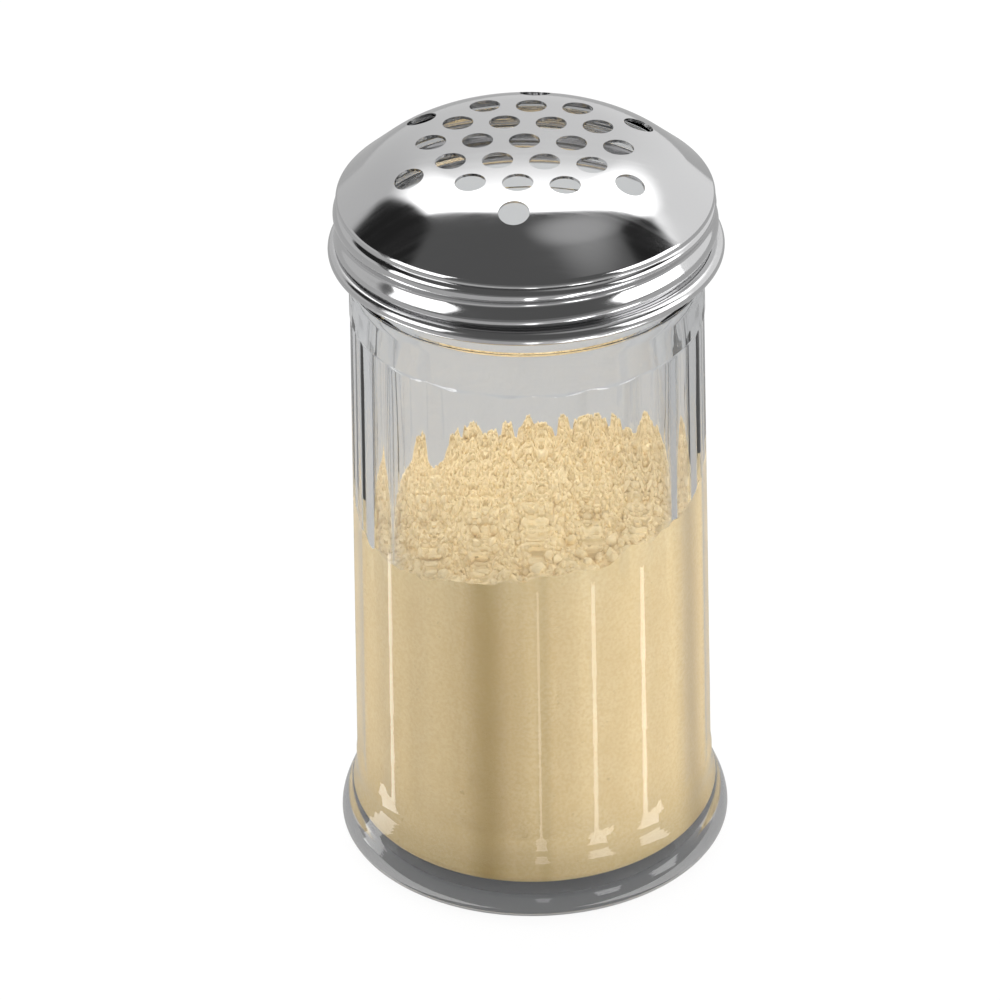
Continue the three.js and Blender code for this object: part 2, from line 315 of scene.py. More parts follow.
def thread_wave(jar, height, turned, top, bottom):
    """Screw thread shared by neck and skirt: 0 at the root, 1 on the crest"""
    crest = jar.neck_height - jar.crest_drop
    phase = (height - crest) / jar.thread_lead - turned / FULL_TURN
    wave = (1 + math.cos(FULL_TURN * phase)) / 2
    ends = min(top - height, height - bottom) / jar.thread_fade
    return wave * smooth(ends)


# Nodes of the materials


class Recipe:
    """Adds and links the nodes of one material or world"""

    def __init__(self, owner):
        owner.use_nodes = True
        self.tree = owner.node_tree
        self.tree.nodes.clear()

    def add(self, kind, settings=None, **inputs):
        node = self.tree.nodes.new(kind)
        for key, value in (settings or {}).items():
            setattr(node, key, value)
        for key, value in inputs.items():
            self.put(node, key.replace("_", " "), value)
        return node

    def put(self, node, key, value):
        socket = node.inputs[int(key)] if key.isdigit() else node.inputs[key]
        if isinstance(value, bpy.types.NodeSocket):
            self.tree.links.new(value, socket)
        else:
            socket.default_value = value

    def maths(self, operation, first, second=0.0):
        node = self.add("ShaderNodeMath", {"operation": operation})
        self.put(node, "0", first)
        self.put(node, "1", second)
        return node.outputs[0]

    def noise(self, vector, scale, detail=3.0, roughness=0.5, distortion=0.0):
        return self.add(
            "ShaderNodeTexNoise",
            Vector=vector, Scale=scale, Detail=detail, Roughness=roughness,
            Distortion=distortion,
        ).outputs[0]

    def ramp(self, value, low, high, to_low=0.0, to_high=1.0):
        node = self.add("ShaderNodeMapRange", {"interpolation_type": "SMOOTHSTEP"})
        for key, amount in zip(
            ("Value", "From Min", "From Max", "To Min", "To Max"),
            (value, low, high, to_low, to_high),
        ):
            self.put(node, key, amount)
        return node.outputs["Result"]

    def mix(self, factor, first, second):
        node = self.add("ShaderNodeMix", {"data_type": "RGBA"})
        self.put(node, "0", factor)
        self.put(node, "6", first)
        self.put(node, "7", second)
        return node.outputs[2]

    def mapped(self, scale):
        place = self.add("ShaderNodeTexCoord").outputs["Object"]
        return self.add("ShaderNodeMapping", Vector=place, Scale=scale).outputs[0]


def glass_material(jar):
    material = bpy.data.materials.new("clear_pressed_glass")
    recipe = Recipe(material)
    place = recipe.mapped((1, 1, 1))
    ripple = recipe.noise(place, 90.0, detail=1.0)
    grain = recipe.noise(place, 900.0, detail=2.0)
    height = recipe.maths("ADD", ripple, recipe.maths("MULTIPLY", grain, 0.05))
    bump = recipe.add(
        "ShaderNodeBump", Strength=0.05, Distance=0.15 * MM, Height=height
    ).outputs[0]
    shader = recipe.add(
        "ShaderNodeBsdfPrincipled",
        Base_Color=jar.tint, Roughness=recipe.ramp(grain, 0.4, 0.8, 0.0, 0.03),
        IOR=1.5, Transmission_Weight=1.0, Normal=bump,
    )
    depth = recipe.add(
        "ShaderNodeVolumeAbsorption", Color=jar.depth_tint, Density=jar.depth_density
    )
    out = recipe.add("ShaderNodeOutputMaterial", Surface=shader.outputs[0])
    recipe.put(out, "Volume", depth.outputs[0])
    return material


def steel_material(lid):
    material = bpy.data.materials.new("polished_sheet_steel")
    recipe = Recipe(material)
    place = recipe.mapped((1, 1, 1))
    buffed = recipe.noise(recipe.mapped((60, 900, 60)), 1.0, detail=4.0)
    cloudy = recipe.noise(place, 70.0, detail=3.0)
    roughness = recipe.maths(
        "ADD", recipe.ramp(buffed, 0.3, 0.7, 0.06, 0.12), recipe.ramp(cloudy, 0.4, 0.7, 0, 0.04)
    )
    height = recipe.add("ShaderNodeSeparateXYZ", Vector=place).outputs["Z"]
    skirt = recipe.ramp(height, lid.top - 15 * MM, lid.top - 19 * MM, 0.0, 0.05)
    roughness = recipe.maths("ADD", roughness, skirt)
    bump = recipe.add(
        "ShaderNodeBump", Strength=0.05, Distance=0.02 * MM, Height=buffed
    ).outputs[0]
    shader = recipe.add(
        "ShaderNodeBsdfPrincipled",
        Base_Color=lid.steel, Metallic=1.0, Roughness=roughness, Normal=bump,
    )
    recipe.add("ShaderNodeOutputMaterial", Surface=shader.outputs[0])
    return material


# Upright strips of painted shade on the side of the spice, standing in for the shade that the
# glass ridges cast: colour, turn of the middle and half width in degrees, and how strong the strip
# is
PAINTED_SHADE_STRIPS = (
    ("shade", 67.0, 13.0, 0.42),
    ("dark", -16.2, 9.5, 0.65),
    ("dark", -11.5, 30.0, 0.25),
    ("dark", 3.5, 3.5, 0.22),
)


def spice_material(jar, spice):
    material = bpy.data.materials.new("ground_spice")
    recipe = Recipe(material)
    place = recipe.mapped((1, 1, 1))
    patches = recipe.noise(place, 160.0, detail=3.0)
    grains = recipe.noise(place, 1500.0, detail=2.0, roughness=0.7)
    specks = recipe.noise(place, 1100.0, detail=1.0, distortion=1.0)
    powder = recipe.mix(recipe.ramp(grains, 0.35, 0.65, 0.1, 0.7), spice.middle, spice.pale)
    shaded = recipe.mix(recipe.ramp(patches, 0.35, 0.7, 0.0, 0.35), powder, spice.middle)
    axes = recipe.add("ShaderNodeSeparateXYZ", Vector=place).outputs
    front = recipe.maths("MULTIPLY", axes["Y"], -1.0)
    turned = recipe.maths("ARCTAN2", axes["X"], front)
    side = recipe.add("ShaderNodeAttribute", {"attribute_name": "side"}).outputs["Fac"]
    # Each strip paints shade into the side's colour, only on the side, darkening it towards the
    # strip's colour
    for dim, middle, half_width, strength in PAINTED_SHADE_STRIPS:
        away = recipe.maths("SUBTRACT", turned, math.radians(middle))
        away = recipe.maths("ABSOLUTE", away)
        strip = recipe.ramp(away, 0.0, math.radians(half_width), strength, 0.0)
        strip = recipe.maths("MULTIPLY", strip, side)
        shaded = recipe.mix(strip, shaded, getattr(spice, dim))
    # Painted shade: the spice's colour darkens towards the bottom of the jar
    painted_low_shade = recipe.ramp(axes["Z"], 26 * MM, 6 * MM, 0.0, 0.3)
    shaded = recipe.mix(painted_low_shade, shaded, spice.dark)
    tone = recipe.add("ShaderNodeAttribute", {"attribute_name": "tone"}).outputs["Fac"]
    shaded = recipe.mix(recipe.ramp(tone, 0.0, 1.0, 0.0, 0.4), shaded, spice.pale)
    shaded = recipe.mix(recipe.ramp(tone, 0.1, -0.9, 0.0, 0.4), shaded, spice.olive)
    husk = recipe.mix(recipe.ramp(specks, 0.7, 0.82, 0.0, 0.25), shaded, spice.dark)
    # Painted shade: the spice's underside turns grey, so that the glass floor shows it like the
    # shadowed table beneath
    low = floor_height(jar) + 0.3 * MM
    husk = recipe.mix(recipe.ramp(axes["Z"], low, low - 0.2 * MM), husk, spice.painted_underside_shade)
    height = recipe.maths("ADD", grains, recipe.maths("MULTIPLY", patches, 0.4))
    bump = recipe.add(
        "ShaderNodeBump", Strength=0.25, Distance=0.2 * MM, Height=height
    ).outputs[0]
    shader = recipe.add(
        "ShaderNodeBsdfPrincipled",
        Base_Color=husk, Roughness=0.9, Normal=bump, Specular_IOR_Level=0.2,
    )
    recipe.add("ShaderNodeOutputMaterial", Surface=shader.outputs[0])
    return material


def floor_material(stage):
    """White to the eye, darker to metal and grey to glass, with a painted shadow round the jar
    where glass shows it. It still takes the shaker's shadow.
    """
    material = bpy.data.materials.new("studio_floor")
    recipe = Recipe(material)
    place = recipe.mapped((1, 1, 1))
    rays = recipe.add("ShaderNodeLightPath").outputs
    seen = recipe.maths(
        "MAXIMUM", rays["Is Camera Ray"],
        recipe.maths("MAXIMUM", rays["Is Glossy Ray"], rays["Is Transmission Ray"]),
    )
    paper = recipe.mix(
        recipe.ramp(recipe.noise(place, 40.0), 0.3, 0.7, 0.0, 0.02),
        stage.floor_colour, stage.paper,
    )
    diffuse = recipe.add("ShaderNodeBsdfDiffuse", Color=paper)
    axes = recipe.add("ShaderNodeSeparateXYZ", Vector=place).outputs
    # Metal shows the floor darker in front of the jar; glass shows it with a painted shadow,
    # darker close to the jar
    apron = recipe.ramp(axes["Y"], -0.34, -0.2, 0.08, 0.42)
    tone = recipe.mix(rays["Is Glossy Ray"], (1, 1, 1, 1), apron)
    away = recipe.add("ShaderNodeVectorMath", {"operation": "LENGTH"})
    recipe.put(away, "0", place)
    painted_shadow_in_glass = recipe.ramp(away.outputs["Value"], 0.06, 0.14, 0.13, 0.45)
    painted_shadow_in_glass = recipe.maths("MULTIPLY", painted_shadow_in_glass, recipe.ramp(axes["X"], 0.02, 0.1, 1.0, 0.7))
    painted_shadow_in_glass = recipe.mix(painted_shadow_in_glass, (0, 0, 0, 1), stage.glass_floor)
    tone = recipe.mix(rays["Is Transmission Ray"], tone, painted_shadow_in_glass)
    white = recipe.add("ShaderNodeEmission", Color=tone, Strength=1.0)
    mixed = recipe.add("ShaderNodeMixShader")
    # The rest of what shows is paper in the stage's light
    weight = recipe.mix(rays["Is Transmission Ray"], (0.93, 0.93, 0.93, 1), (0.85, 0.85, 0.85, 1))
    recipe.put(mixed, "0", recipe.maths("MULTIPLY", seen, weight))
    recipe.put(mixed, "1", diffuse.outputs[0])
    recipe.put(mixed, "2", white.outputs[0])
    recipe.add("ShaderNodeOutputMaterial", Surface=mixed.outputs[0])
    return material


# Jar


def body_radius(jar, height):
    climbed = (height - jar.foot_height) / (jar.band_top - jar.foot_height)
    return jar.bottom_radius + (jar.top_radius - jar.bottom_radius) * climbed


def floor_height(jar):
    return jar.push_up + jar.floor


def inner_corner(jar):
    """Middle of the round between floor and side"""
    height = floor_height(jar) + jar.floor_round
    return body_radius(jar, height) - jar.wall - jar.floor_round, height


def underside(jar):
    first_ring = 6 * MM
    edge = 0.1 * MM
    ring_inner = jar.ring_radius - jar.ring_width
    slope_top = (ring_inner - jar.push_up_slope, jar.push_up)
    return [
        (0.0, jar.push_up),
        *between((first_ring, jar.push_up), slope_top, 4),
        *between(slope_top, (ring_inner, 0.0), 4),
        (ring_inner + edge, 0.0),
        (jar.ring_radius - edge, 0.0),
    ]


def foot_side(jar):
    points = []
    steps = 12
    for i in range(steps + 1):
        turned = QUARTER_TURN * i / steps
        reach = jar.ring_radius + (jar.foot_radius - jar.ring_radius) * math.sin(turned)
        points.append((reach, jar.foot_widest * (1 - math.cos(turned))))
    steps = 20
    for i in range(1, steps + 1):
        reach = jar.foot_radius + (jar.bottom_radius - jar.foot_radius) * smooth(i / steps)
        points.append((reach, jar.foot_widest + (jar.foot_height - jar.foot_widest) * i / steps))
    return points


def ridge_turn(jar):
    """Turn from the middle of a ridge to where the panel's hollow face starts"""
    return jar.ridge_width / 2 / jar.top_radius


def panel_rows(jar):
    """Heights of the rows that shape the panels: both runouts and the long stretch between"""
    low, high = jar.panel_bottom, jar.panel_top
    rows = [low + jar.bottom_runout * i / 8 for i in range(9)]
    rows += [low + (high - low) * i / 6 for i in range(1, 6)]
    return rows + [high - jar.top_runout * i / 6 for i in range(6, -1, -1)]


def panel_depth(jar, height, from_ridge):
    """How far a panel is cut in from the round side, at a turn from its ridge's middle"""
    half = math.pi / jar.panels
    rounded = ridge_turn(jar)
    if from_ridge < rounded:
        from_ridge = (from_ridge ** 2 + rounded ** 2) / (2 * rounded)
    from_middle = half - from_ridge
    flat = body_radius(jar, height) * (1 - math.cos(half) / math.cos(from_middle))
    deepest = body_radius(jar, height) * (1 - math.cos(half)) + jar.hollow
    hollow = jar.hollow * (1 - (from_middle / half) ** 2)
    rise = (height - jar.panel_bottom) / jar.bottom_runout
    fall = (jar.panel_top - height) / jar.top_runout
    return max(0.0, min(flat + hollow, deepest * rise, deepest * fall))


def shoulder_and_neck(jar):
    corner = (jar.top_radius - jar.band_round, jar.band_top - jar.band_round)
    rim_outer = (jar.neck_radius - jar.rim_round, jar.neck_height - jar.rim_round)
    mouth = jar.neck_radius - jar.mouth_wall
    rim_inner = (mouth + jar.rim_round, jar.neck_height - jar.rim_round)
    edge = 0.2 * MM
    return [
        *arc(corner, jar.band_round, 0, QUARTER_TURN, 8),
        (jar.neck_radius, jar.band_top + edge),
        *between((jar.neck_radius, jar.band_top + 2 * edge), (jar.neck_radius, rim_outer[1]), 64),
        *arc(rim_outer, jar.rim_round, 0, QUARTER_TURN, 8),
        *arc(rim_inner, jar.rim_round, QUARTER_TURN, math.pi, 8),
    ]


def inside(jar):
    mouth = jar.neck_radius - jar.mouth_wall
    draw_bottom = jar.band_top - jar.mouth_draw
    inner = body_radius(jar, draw_bottom) - jar.wall
    steps = 10
    draw = []
    for i in range(steps + 1):
        reach = mouth + (inner - mouth) * smooth(i / steps)
        draw.append((reach, jar.band_top - jar.mouth_draw * i / steps))
    corner = inner_corner(jar)
    start = (corner[0] + jar.floor_round, corner[1])
    return [
        *draw,
        *between(draw[-1], start, 8)[1:],
        *arc(corner, jar.floor_round, 0, -QUARTER_TURN, 12),
        *between((corner[0], floor_height(jar)), (0.0, floor_height(jar)), 6)[1:],
        (0.0, floor_height(jar)),
    ]


def press_panels(jar, piece, columns_per_panel, ridge_columns):
    """Presses the panels into the round side and draws the columns by each ridge close to it"""
    rows = panel_rows(jar)
    step = FULL_TURN / (jar.panels * columns_per_panel)
    outside = [[[] for _ in range(columns_per_panel)] for _ in rows]
    by_ridge = {}
    for i in range(1, ridge_columns + 1):
        by_ridge[i] = []
        by_ridge[columns_per_panel - i] = []
    for vertex in piece.data.vertices:
        x, y, z = vertex.co
        column = round((turn_of((x, y)) - jar.panel_turn) / step) % columns_per_panel
        reach = math.hypot(x, y)
        if reach < body_radius(jar, z) - jar.wall / 2:
            continue
        if column in by_ridge and jar.panel_bottom - MM < z < jar.panel_top + MM:
            by_ridge[column].append(vertex.index)
        for i, height in enumerate(rows):
            if abs(z - height) < SAME_ROW:
                outside[i][column].append(vertex.index)
    activate(piece)
    bpy.ops.object.mode_set(mode="EDIT")
    turns = [min(column, columns_per_panel - column) * step for column in range(columns_per_panel)]
    for column, points in by_ridge.items():
        from_ridge = min(column, columns_per_panel - column)
        near = ridge_turn(jar) * from_ridge / ridge_columns
        drawn = near - turns[column] if column <= ridge_columns else turns[column] - near
        turn_points(piece, points, drawn)
        turns[column] = near
    for height, columns in zip(rows, outside):
        for column, points in enumerate(columns):
            depth = panel_depth(jar, height, turns[column])
            if depth > 0:
                scale_points(piece, points, 1 - depth / body_radius(jar, height))
    bpy.ops.object.mode_set(mode="OBJECT")


def raise_neck_thread(jar, piece):
    top = jar.neck_height - jar.thread_drop
    bottom = top - jar.thread_length
    for vertex in piece.data.vertices:
        x, y, z = vertex.co
        if bottom < z < top and math.hypot(x, y) > jar.neck_radius - SAME_ROW:
            reach = jar.thread_reach * thread_wave(jar, z, turn_of((x, y)), top, bottom)
            grown = 1 + reach / jar.neck_radius
            vertex.co.x *= grown
            vertex.co.y *= grown


class SHAKER_OT_jar(bpy.types.Operator):
    """Builds the pressed-glass jar"""

    bl_idname = "shaker.jar"
    bl_label = "Glass Jar"

    def execute(self, context):
        jar = context.scene.shaker_jar
        panel_heights = panel_rows(jar)
        outline = [
            *underside(jar),
            *foot_side(jar),
            *[(body_radius(jar, height), height) for height in panel_heights],
            *shoulder_and_neck(jar),
            *inside(jar),
        ]
        columns_per_panel = 14
        piece = spun("jar_glass", outline, jar.panels * columns_per_panel, jar.panel_turn)
        press_panels(jar, piece, columns_per_panel, ridge_columns=3)
        raise_neck_thread(jar, piece)
        smooth_by_angle(piece, 18)
        dress(piece, glass_material(jar), "jar", "glass_jar")
        return {"FINISHED"}


# Lid


def skirt_inner(jar, lid):
    return jar.neck_radius + jar.thread_reach + lid.clearance


def dome_centres(jar, lid):
    """Middles of the edge round, the shoulder and the crown, above the hem"""
    dome_radius = skirt_inner(jar, lid) + lid.sheet + lid.overhang
    edge = (dome_radius - lid.edge_round, lid.bead + lid.skirt_drop)
    crown_slope = math.asin(lid.crown_reach / lid.crown)
    radius = lid.crown_reach - lid.shoulder * math.sin(crown_slope)
    tighter = lid.shoulder - lid.edge_round
    along = (edge[0] - radius - tighter * math.sin(lid.slope)) / math.cos(lid.slope)
    height = edge[1] - tighter * math.cos(lid.slope) + along * math.sin(lid.slope)
    crown = (0.0, height - (lid.crown - lid.shoulder) * math.cos(crown_slope))
    return edge, (radius, height), crown, crown_slope


def hem_height(jar, lid):
    """Height of the bead's lowest point, which puts the crown at its own height"""
    crown = dome_centres(jar, lid)[2]
    return lid.top - crown[1] - lid.crown


def lid_outline(jar, lid):
    """The sheet's inner face from the crown's middle down to the end of the curled hem"""
    edge, shoulder, crown, crown_slope = dome_centres(jar, lid)
    inner = skirt_inner(jar, lid)
    bead = (inner + lid.bead, lid.bead)
    turned_in = math.acos(1 - lid.overhang / lid.edge_round)
    points = [
        *arc(crown, lid.crown - lid.sheet, QUARTER_TURN, QUARTER_TURN - crown_slope, 20)[:-1],
        *arc(
            shoulder, lid.shoulder - lid.sheet,
            QUARTER_TURN - crown_slope, QUARTER_TURN - lid.slope, 36,
        ),
        *arc(edge, lid.edge_round - lid.sheet, QUARTER_TURN - lid.slope, -turned_in, 14),
    ]
    crease = 0.25 * MM
    curl_end = math.pi * 0.68
    points += between((inner, points[-1][1] - crease), (inner, bead[1]), 72)
    points += arc(bead, lid.bead, -math.pi, curl_end, 30)
    hem = hem_height(jar, lid)
    return [(radius, height + hem) for radius, height in points]


def roll_skirt(jar, lid, piece):
    """Rolls the screw thread into the skirt"""
    edge = dome_centres(jar, lid)[0]
    inner = skirt_inner(jar, lid)
    hem = hem_height(jar, lid)
    below_edge = 0.6 * MM
    top = hem + edge[1] - below_edge
    bottom = hem + 2 * lid.bead
    for vertex in piece.data.vertices:
        x, y, z = vertex.co
        if bottom < z < top and abs(math.hypot(x, y) - inner) < SAME_ROW:
            reach = lid.rolled * thread_wave(jar, z, turn_of((x, y)), top, bottom)
            grown = 1 + reach / inner
            vertex.co.x *= grown
            vertex.co.y *= grown


def hole_places(lid):
    """Middles of the holes seen from above: a six-sided field, and one beyond each side"""
    places = []
    row_step = lid.pitch * math.sin(math.pi / 3)
    rows = (3, 4, 5, 4, 3)
    middle_row = len(rows) // 2
    for row, holes in enumerate(rows):
        for i in range(holes):
            places.append((lid.pitch * (i - (holes - 1) / 2), row_step * (row - middle_row)))
    for i in range(lid.outer_holes):
        turned = FULL_TURN * i / lid.outer_holes - QUARTER_TURN
        places.append((lid.outer_radius * math.cos(turned), lid.outer_radius * math.sin(turned)))
    turn = Matrix.Rotation(lid.hole_turn, 2)
    return [turn @ Vector(place) for place in places]


def dome_at(jar, lid, reach):
    """Slope and height of the dome's outer face at a distance from its axis"""
    _, shoulder, crown, _ = dome_centres(jar, lid)
    hem = hem_height(jar, lid)
    if reach < lid.crown_reach:
        slope = math.asin(reach / lid.crown)
        return slope, hem + crown[1] + lid.crown * math.cos(slope)
    slope = min(math.asin((reach - shoulder[0]) / lid.shoulder), lid.slope)
    return slope, hem + shoulder[1] + lid.shoulder * math.cos(slope)


def punch_holes(jar, lid, piece):
    """Punches each hole square to the dome"""
    punch_length = 4 * MM
    punches = []
    for place in hole_places(lid):
        slope, height = dome_at(jar, lid, place.length)
        deselect()
        bpy.ops.mesh.primitive_cylinder_add(
            vertices=64, radius=lid.hole / 2, depth=punch_length,
            location=(place.x, place.y, height),
            rotation=(0, slope, math.atan2(place.y, place.x)),
        )
        punches.append(bpy.context.object)
    for punch in punches:
        punch.select_set(True)
    bpy.ops.object.join()
    punch = bpy.context.object
    cut = piece.modifiers.new("holes", "BOOLEAN")
    cut.object = punch
    cut.operation = "DIFFERENCE"
    cut.solver = "EXACT"
    apply_modifiers(piece)
    bpy.data.objects.remove(punch)


class SHAKER_OT_lid(bpy.types.Operator):
    """Builds the domed, perforated screw lid"""

    bl_idname = "shaker.lid"
    bl_label = "Perforated Lid"

    def execute(self, context):
        jar = context.scene.shaker_jar
        lid = context.scene.shaker_lid
        piece = spun("lid_shell", lid_outline(jar, lid), 240)
        crown = max(piece.data.polygons, key=lambda face: face.center.z)
        if crown.normal.z < 0:
            piece.data.flip_normals()
        roll_skirt(jar, lid, piece)
        wall = piece.modifiers.new("sheet", "SOLIDIFY")
        wall.thickness = lid.sheet
        wall.offset = 1
        wall.use_even_offset = True
        wall.use_quality_normals = True
        apply_modifiers(piece)
        punch_holes(jar, lid, piece)
        smooth_by_angle(piece, 40)
        dress(piece, steel_material(lid), "lid", "perforated_lid")
        return {"FINISHED"}


# Spice


# Mounds and hollows of the heap: place across and back, height and spread, as shares of the
# inside radius or, for the height, of the mound height
MOUND_SHARES = (
    (0.0, 0.95, -1.0, 0.5),
    (0.93, 0.0, 1.1, 0.34),
    (-0.93, 0.05, 1.5, 0.34),
    (0.45, 0.8, 0.5, 0.2),
    (-0.44, 0.84, 0.9, 0.13),
    (-0.2, 0.92, 0.6, 0.12),
    (-0.66, 0.6, -0.8, 0.24),
    (0.12, -0.05, 0.5, 0.3),
    (-0.36, -0.2, 0.6, 0.2),
    (-0.3, -0.74, -0.6, 0.16),
    (0.36, -0.66, -0.5, 0.2),
)


# Lumps of three sizes: how many fit in a metre, and height as a share of the lump height
LUMP_SHARES = ((210, 0.9), (400, 1.0), (800, 0.4))


def heap_height(jar, spice, x, y):
    """Height of the heap's lumpy top over a point"""
    wall = body_radius(jar, floor_height(jar) + spice.level) - jar.wall
    across, back = x / wall, y / wall
    level = floor_height(jar) + spice.level + x * math.tan(spice.tilt)
    level += spice.crown * (1 - across ** 2 - back ** 2)
    for mound_across, mound_back, height, spread in MOUND_SHARES:
        away = math.hypot(across - mound_across, back - mound_back) / spread
        level += spice.mound * height * math.exp(-away * away)
    for scale, height in LUMP_SHARES:
        level += spice.lump * height * noise.noise(Vector((x, y, 1 / scale)) * scale)
    return level


def crumb_shape():
    deselect()
    bpy.ops.mesh.primitive_uv_sphere_add(segments=6, ring_count=4, radius=1)
    crumb = bpy.context.object
    points = [vertex.co.copy() for vertex in crumb.data.vertices]
    faces = [tuple(face.vertices) for face in crumb.data.polygons]
    bpy.data.objects.remove(crumb)
    return points, faces


def scatter_crumbs(jar, spice, piece):
    """Drops crumbs on the heap, each with a shape and a tone of its own"""
    draw = random.Random(spice.seed)
    points, faces = crumb_shape()
    wall = body_radius(jar, floor_height(jar) + spice.level) - jar.wall
    mesh = bmesh.new()
    mesh.from_mesh(piece.data)
    tone = mesh.verts.layers.float.new("tone")
    side = mesh.verts.layers.float.new("side")
    above_floor = 2 * floor_height(jar)
    for vertex in mesh.verts:
        inner = body_radius(jar, vertex.co.z) - jar.wall
        if math.hypot(vertex.co.x, vertex.co.y) < inner and vertex.co.z > above_floor:
            vertex[tone] = 2.0 * noise.noise(vertex.co * 760)
        else:
            vertex[side] = 1.0
    for _ in range(spice.crumbs):
        size = spice.crumb * draw.uniform(0.45, 1.0) * (1 + draw.random() ** 8)
        reach = (wall - size) * math.sqrt(draw.random())
        turned = draw.uniform(0, FULL_TURN)
        x, y = reach * math.sin(turned), -reach * math.cos(turned)
        place = Vector((x, y, heap_height(jar, spice, x, y) + size * draw.uniform(-0.4, 0.3)))
        turn = Matrix.Rotation(draw.uniform(0, FULL_TURN), 3, "Z") @ Matrix.Rotation(
            draw.uniform(0, math.pi), 3, "X"
        )
        stretch = [draw.uniform(0.7, 1.25) for _ in range(3)]
        crumb_tone = draw.uniform(-0.4, 0.8)
        corners = []
        for point in points:
            rough = size * draw.uniform(0.8, 1.15)
            shaped = Vector((a * b for a, b in zip(point, stretch)))
            corner = mesh.verts.new(place + turn @ shaped * rough)
            corner[tone] = crumb_tone
            corners.append(corner)
        for face in faces:
            mesh.faces.new([corners[i] for i in face])
    mesh.to_mesh(piece.data)
    mesh.free()


class SHAKER_OT_spice(bpy.types.Operator):
    """Fills the jar with ground spice"""

    bl_idname = "shaker.spice"
    bl_label = "Ground Spice"

    def execute(self, context):
        jar = context.scene.shaker_jar
        spice = context.scene.shaker_spice
        corner = inner_corner(jar)
        side_top = floor_height(jar) + spice.level
        wall = body_radius(jar, side_top) - jar.wall + spice.contact
        rings = 100
        side_rows = 10
        below_heap = 12 * MM
        heights = [corner[1] + (side_top - below_heap - corner[1]) * (i + 1) / side_rows
                   for i in range(side_rows)]
        outline = [
            (0.0, floor_height(jar) - spice.contact),
            *arc(corner, jar.floor_round + spice.contact, -QUARTER_TURN, 0, 12),
            *[(body_radius(jar, height) - jar.wall + spice.contact, height)
              for height in heights],
            *between((wall, side_top), (0.0, side_top), rings),
            (0.0, side_top),
        ]
        piece = spun("spice_heap", outline, 260)
        for vertex in piece.data.vertices:
            x, y, z = vertex.co
            if abs(z - side_top) < SAME_ROW:
                vertex.co.z = heap_height(jar, spice, x, y)
                reach = math.hypot(x, y)
                if reach > wall - SAME_ROW:
                    grown = (body_radius(jar, vertex.co.z) - jar.wall + spice.contact) / reach
                    vertex.co.x *= grown
                    vertex.co.y *= grown
        scatter_crumbs(jar, spice, piece)
        smooth_by_angle(piece, 60)
        dress(piece, spice_material(jar, spice), "jar", "spice_fill")
        return {"FINISHED"}


# Stage


# Directions in the sky
BEHIND = (0, 0.94, -0.34)
LEFT_BLACK = (-0.78, 0.27, 0.57)
RIGHT_BLACK = (0.74, 0.1, 0.66)
OVERHEAD = (0.33, -0.02, 0.94)
FRONT = (-0.14, -0.99, 0)
FRONT_RIGHT = (0.68, -0.73, 0)
BACK_LEFT = (-0.94, 0.34, 0)
ABOVE_BACK = (0.11, 0.78, 0.62)


def studio_world(stage):
    """White to the camera. Polished faces, glass and dull faces each have a sky of their own."""
    world = bpy.data.worlds.new("studio")
    bpy.context.scene.world = world
    recipe = Recipe(world)
    toward = recipe.add("ShaderNodeTexCoord").outputs["Generated"]

    def along(direction):
        node = recipe.add("ShaderNodeVectorMath", {"operation": "DOT_PRODUCT"})
        recipe.put(node, "0", toward)
        recipe.put(node, "1", Vector(direction).normalized())
        return node.outputs["Value"]

    # Polished faces: a wall behind, a dark roof in front with one soft patch, two black patches
    back = recipe.ramp(along(BEHIND), -0.03, 0.03)
    wall = recipe.ramp(along((0, 0, 1)), 0.5, 0.8, stage.wall_low, stage.wall_high)
    wall = recipe.maths("MULTIPLY", wall, recipe.ramp(along((1, 0, 0)), -0.6, 0.6, 1.4, 2.1))
    roof = recipe.maths("ADD", recipe.ramp(along(OVERHEAD), 0.93, 1.0, 0.0, 0.34), stage.roof)
    value = recipe.mix(back, roof, wall)
    left_black = recipe.ramp(along(LEFT_BLACK), 0.93, 0.96)
    right_black = recipe.ramp(along(RIGHT_BLACK), 0.975, 0.99)
    for patch in (left_black, right_black):
        value = recipe.mix(patch, value, (0.02, 0.02, 0.02, 1))
    rays = recipe.add("ShaderNodeLightPath").outputs
    value = recipe.mix(rays["Is Transmission Ray"], value, stage.glass_sky)

    # Dull faces: dim in front and on the right, brighter in three places
    soft = recipe.ramp(along(FRONT), -0.2, 0.8, 1.1, 0.24)
    soft = recipe.maths("MULTIPLY", soft, recipe.ramp(along((1, 0, 0)), 0.2, 0.9, 1.0, 0.45))
    left = recipe.ramp(along(BACK_LEFT), 0.5, 0.95, 0.0, 0.45)
    front_right = recipe.ramp(along(FRONT_RIGHT), 0.45, 0.95, 0.0, 1.3)
    above_heap = recipe.ramp(along(ABOVE_BACK), 0.75, 1.0, 0.0, 1.0)
    for patch in (left, front_right, above_heap):
        soft = recipe.maths("ADD", soft, patch)
    soft = recipe.maths("MULTIPLY", soft, stage.soft_light)
    scattered = recipe.maths("GREATER_THAN", rays["Diffuse Depth"], 0.5)
    value = recipe.mix(scattered, value, soft)
    value = recipe.mix(rays["Is Camera Ray"], value, (1, 1, 1, 1))
    background = recipe.add("ShaderNodeBackground", Color=value, Strength=1.0)
    recipe.add("ShaderNodeOutputWorld", Surface=background.outputs[0])


def area_lamp(name, place, rotation, width, height, brightness):
    """A rectangular lamp of a brightness that its size doesn't change"""
    deselect()
    bpy.ops.object.light_add(type="AREA", location=place, rotation=rotation)
    lamp = bpy.context.object
    lamp.name = name
    lamp.data.shape = "RECTANGLE"
    lamp.data.size = width
    lamp.data.size_y = height
    lamp.data.energy = brightness * math.pi * width * height
    return lamp


# Softboxes: turn from the back, width and brightness
SOFTBOXES = (("left_softbox", -115, 0.6, 2.1), ("right_softbox", 105, 0.7, 2.6))


